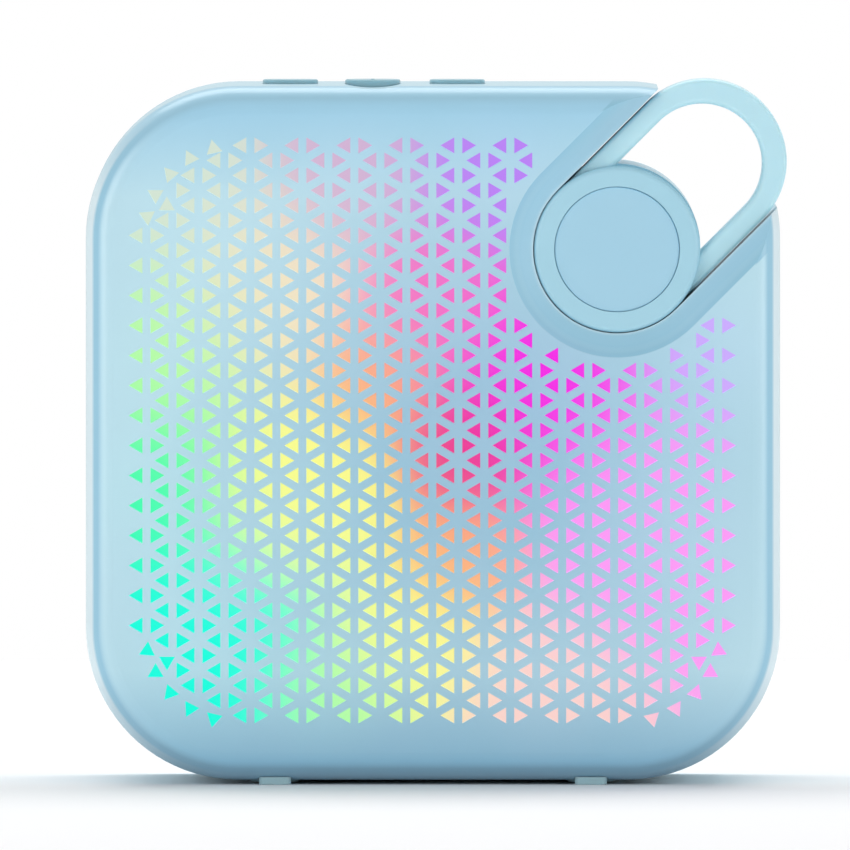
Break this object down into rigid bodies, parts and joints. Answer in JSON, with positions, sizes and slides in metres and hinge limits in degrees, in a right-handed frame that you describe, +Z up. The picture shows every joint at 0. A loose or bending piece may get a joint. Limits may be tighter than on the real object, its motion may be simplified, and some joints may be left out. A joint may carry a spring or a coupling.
{
  "type": "portable bluetooth speaker",
  "caption": "Square perforated speaker case with a lit front, top buttons, rear radiator, port flap, feet and a silicone carry loop in a corner well.",
  "frame": {"origin": "on the surface that the feet stand on, in the middle of the case's width and depth", "axes": "+X right seen from the front, +Y towards the back, +Z up; the perforated front faces -Y"},
  "size_m": [0.101, 0.0425, 0.1016],
  "materials": {
    "shell": "fine satin injection-moulded shell",
    "seal": "matte",
    "loop": "smooth matte silicone",
    "cap": "satin",
    "inlay": "satin",
    "screw": "zinc plated",
    "diffuser": "milky film",
    "light_guide": "clear acrylic",
    "light_board": "white solder mask",
    "light": "clear resin over white reflector",
    "inner_frame": "moulded black",
    "basket": "black powder coat",
    "surround": "matte",
    "cone": "coated paper",
    "coil": "copper wire on a former",
    "spider": "resin-stiffened cotton",
    "magnet": "ceramic ferrite",
    "motor_steel": "nickel plated",
    "radiator_plate": "anodised",
    "cell": "shrink sleeve",
    "strap": "foam-backed band",
    "board": "solder mask",
    "can": "tinned sheet",
    "component": "moulded resin",
    "lead": "sleeved wire pair",
    "button": "translucent matte silicone",
    "flap": "soft matte silicone",
    "foot": "matte silicone"
  },
  "bodies": {
    "case": {"front_shell": "shell", "rear_shell": "shell", "shell_seal": "seal", "carry_loop": "loop", "loop_cap": "cap", "cap_disc": "inlay", "cap_screw": "screw", "baffle_screws": "screw", "case_screws": "screw", "diffuser": "diffuser", "light_guide": "light_guide", "light_board": "light_board", "lights": "light", "baffle": "inner_frame", "radiator_frame": "inner_frame", "battery_tray": "inner_frame", "driver_basket": "basket", "driver_surround": "surround", "radiator_surround": "surround", "driver_spider": "spider", "driver_magnet": "magnet", "driver_top_plate": "motor_steel", "driver_yoke": "motor_steel", "battery_cell": "cell", "battery_strap": "strap", "main_board": "board", "wireless_module": "can", "usb_receptacle": "can", "board_chips": "component", "board_coils": "component", "board_sockets": "component", "tact_switches": "component", "driver_lead": "lead", "battery_lead": "lead", "foot_left": "foot", "foot_right": "foot"},
    "button_left": {"button_left": "button"},
    "button_middle": {"button_middle": "button"},
    "button_right": {"button_right": "button"},
    "port_flap": {"port_flap": "flap"},
    "cone": {"driver_cone": "cone", "driver_dust_cap": "cone", "voice_coil": "coil"},
    "radiator": {"radiator_plate": "radiator_plate"}
  },
  "joints": [
    {"name": "button_left_press", "type": "slide", "parent": "case", "child": "button_left", "axis": [0, 0, -1], "range_m": [0, 0.00035], "stiffness_N_per_m": 1500, "springref_m": -0.0003},
    {"name": "button_middle_press", "type": "slide", "parent": "case", "child": "button_middle", "axis": [0, 0, -1], "range_m": [0, 0.00035], "stiffness_N_per_m": 1500, "springref_m": -0.0003},
    {"name": "button_right_press", "type": "slide", "parent": "case", "child": "button_right", "axis": [0, 0, -1], "range_m": [0, 0.00035], "stiffness_N_per_m": 1500, "springref_m": -0.0003},
    {"name": "port_flap_hinge", "type": "hinge", "parent": "case", "child": "port_flap", "pos_m": [-0.0205, 0.0205, 0.09175], "axis": [0, 0, 1], "range_deg": [0, 100], "stiffness_Nm_per_rad": 0.0001},
    {"name": "cone_travel", "type": "slide", "parent": "case", "child": "cone", "axis": [0, -1, 0], "range_m": [-0.0012, 0.0012], "stiffness_N_per_m": 1200, "deforming": ["driver_surround", "driver_spider"]},
    {"name": "radiator_travel", "type": "slide", "parent": "case", "child": "radiator", "axis": [0, 1, 0], "range_m": [-0.0012, 0.0012], "stiffness_N_per_m": 900, "deforming": ["radiator_surround"]}
  ]
}
